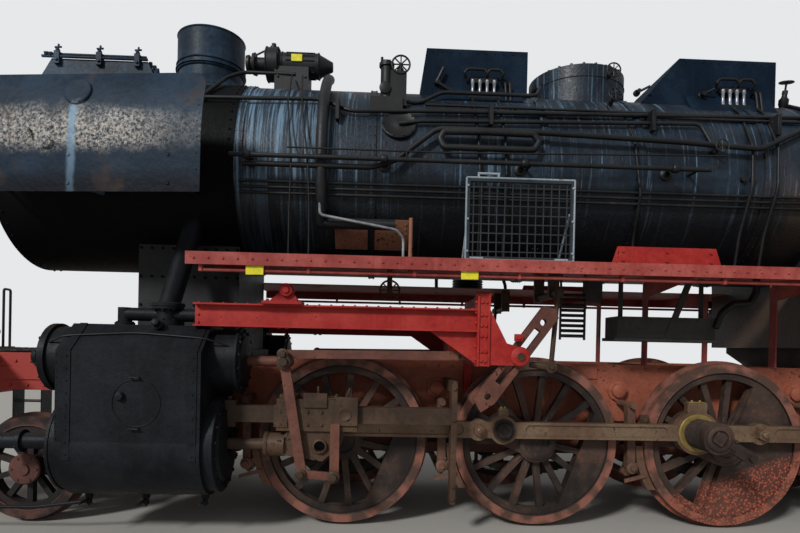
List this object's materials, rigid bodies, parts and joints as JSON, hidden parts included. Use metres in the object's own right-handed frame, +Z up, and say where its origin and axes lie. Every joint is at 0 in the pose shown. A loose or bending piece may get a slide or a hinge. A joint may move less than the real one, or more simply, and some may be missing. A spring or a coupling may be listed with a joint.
{
  "type": "steam locomotive",
  "caption": "Steam locomotive with coupled driving wheels behind a leading axle, boiler with square sand boxes, side deflectors, outside cylinders and a cab.",
  "frame": {"origin": "middle of the engine on the plane under the wheel flanges", "axes": "+X towards the cab, -X towards the buffers, +Y to the engine's right, +Z up"},
  "size_m": [13.7, 3.12, 4.463],
  "materials": {
    "frame_paint": "weathered red-brown",
    "cast_grey": "dusty",
    "red_paint": "faded",
    "black_paint": "worn satin",
    "bare_steel": "dull",
    "smokebox_black": "oily sheen",
    "boiler_paint": "streaked",
    "sandbox_paint": "matt",
    "sheet_grey": "stained",
    "cylinder_paint": "stained satin",
    "rod_steel": "greasy",
    "deflector_paint": "peeling gloss",
    "board_red": "faded",
    "guard_grey": "worn",
    "floor_wood": "worn planks",
    "cab_paint": "worn satin",
    "glass": "dusty",
    "fitting_brass": "dull",
    "wheel_paint": "weathered"
  },
  "bodies": {
    "engine": {"air_pump": "black_paint", "air_reservoirs": "black_paint", "ash_pan": "sheet_grey", "axle_boxes": "cast_grey", "boiler_barrel": "boiler_paint", "boiler_pipes": "black_paint", "brake_gear": "frame_paint", "buffer_beam": "red_paint", "cab_bearers": "black_paint", "cab_end_walls": "cab_paint", "cab_fittings": "fitting_brass", "cab_floor": "floor_wood", "cab_furniture": "black_paint", "cab_glass": "glass", "cab_roof": "cab_paint", "cab_sides": "cab_paint", "chimney": "smokebox_black", "crossheads": "rod_steel", "cylinders": "cylinder_paint", "drag_box": "red_paint", "draw_gear": "bare_steel", "firebox": "boiler_paint", "front_buffers": "black_paint", "front_deck": "black_paint", "front_lamps": "black_paint", "front_sandbox": "sandbox_paint", "front_steps": "black_paint", "handrails": "black_paint", "main_frame": "frame_paint", "mesh_guard": "guard_grey", "motion_brackets": "red_paint", "rear_sandbox": "sandbox_paint", "running_boards": "board_red", "slide_bars": "rod_steel", "smoke_deflectors": "deflector_paint", "smokebox": "smokebox_black", "smokebox_cover": "smokebox_black", "smokebox_saddle": "black_paint", "steam_dome": "boiler_paint", "steam_pipes": "black_paint", "turbo_generator": "black_paint", "valve_gear": "rod_steel"},
    "wheelset_1": {"wheelset_1": "wheel_paint"},
    "wheelset_2": {"wheelset_2": "wheel_paint"},
    "wheelset_3": {"wheelset_3": "wheel_paint"},
    "wheelset_4": {"wheelset_4": "wheel_paint"},
    "wheelset_5": {"wheelset_5": "wheel_paint"},
    "leading_truck": {"truck_frame": "frame_paint"},
    "leading_wheelset": {"leading_wheelset": "wheel_paint"},
    "rods_left": {"coupling_rods_left": "rod_steel"},
    "rods_right": {"coupling_rods_right": "rod_steel"},
    "smokebox_door": {"smokebox_door": "smokebox_black"},
    "cab_door_left": {"cab_door_left": "cab_paint"},
    "cab_door_right": {"cab_door_right": "cab_paint"},
    "fire_door": {"fire_door": "cast_grey"}
  },
  "joints": [
    {"name": "driving_wheels", "type": "hinge", "parent": "engine", "child": "wheelset_3", "pos_m": [1.2, 0, 0.728], "axis": [0, 1, 0], "continuous": true},
    {"name": "coupled_wheels_1", "type": "hinge", "parent": "engine", "child": "wheelset_1", "pos_m": [-2.1, 0, 0.728], "axis": [0, 1, 0], "continuous": true},
    {"name": "coupled_wheels_2", "type": "hinge", "parent": "engine", "child": "wheelset_2", "pos_m": [-0.45, 0, 0.728], "axis": [0, 1, 0], "continuous": true},
    {"name": "coupled_wheels_4", "type": "hinge", "parent": "engine", "child": "wheelset_4", "pos_m": [2.85, 0, 0.728], "axis": [0, 1, 0], "continuous": true},
    {"name": "coupled_wheels_5", "type": "hinge", "parent": "engine", "child": "wheelset_5", "pos_m": [4.5, 0, 0.728], "axis": [0, 1, 0], "continuous": true},
    {"name": "rods_left_pin", "type": "hinge", "parent": "wheelset_3", "child": "rods_left", "pos_m": [0.89192, -0.908, 0.84626], "axis": [0, 1, 0], "continuous": true},
    {"name": "rods_right_pin", "type": "hinge", "parent": "wheelset_3", "child": "rods_right", "pos_m": [1.08174, 0.908, 0.41992], "axis": [0, 1, 0], "continuous": true},
    {"name": "truck_swing", "type": "hinge", "parent": "engine", "child": "leading_truck", "pos_m": [-3.25, 0, 0.453], "axis": [0, 0, 1], "range_deg": [-2.5, 2.5]},
    {"name": "leading_wheels", "type": "hinge", "parent": "leading_truck", "child": "leading_wheelset", "pos_m": [-4.7, 0, 0.453], "axis": [0, 1, 0], "continuous": true},
    {"name": "smokebox_door_hinge", "type": "hinge", "parent": "engine", "child": "smokebox_door", "pos_m": [-5.0953, 0.77, 3.078], "axis": [0, 0, 1], "range_deg": [-115, 0]},
    {"name": "cab_door_left_hinge", "type": "hinge", "parent": "engine", "child": "cab_door_left", "pos_m": [5.814, -1.47, 2.203], "axis": [0, 0, 1], "range_deg": [0, 90]},
    {"name": "cab_door_right_hinge", "type": "hinge", "parent": "engine", "child": "cab_door_right", "pos_m": [5.814, 1.47, 2.203], "axis": [0, 0, 1], "range_deg": [-90, 0]},
    {"name": "fire_door_hinge", "type": "hinge", "parent": "engine", "child": "fire_door", "pos_m": [5.032, 0, 2.594], "axis": [0, 1, 0], "range_deg": [0, 60]}
  ],
  "couplings": [
    {"joint": "coupled_wheels_1", "follows": "driving_wheels", "ratio": 1},
    {"joint": "coupled_wheels_2", "follows": "driving_wheels", "ratio": 1},
    {"joint": "coupled_wheels_4", "follows": "driving_wheels", "ratio": 1},
    {"joint": "coupled_wheels_5", "follows": "driving_wheels", "ratio": 1},
    {"joint": "rods_left_pin", "follows": "driving_wheels", "ratio": -1},
    {"joint": "rods_right_pin", "follows": "driving_wheels", "ratio": -1}
  ]
}
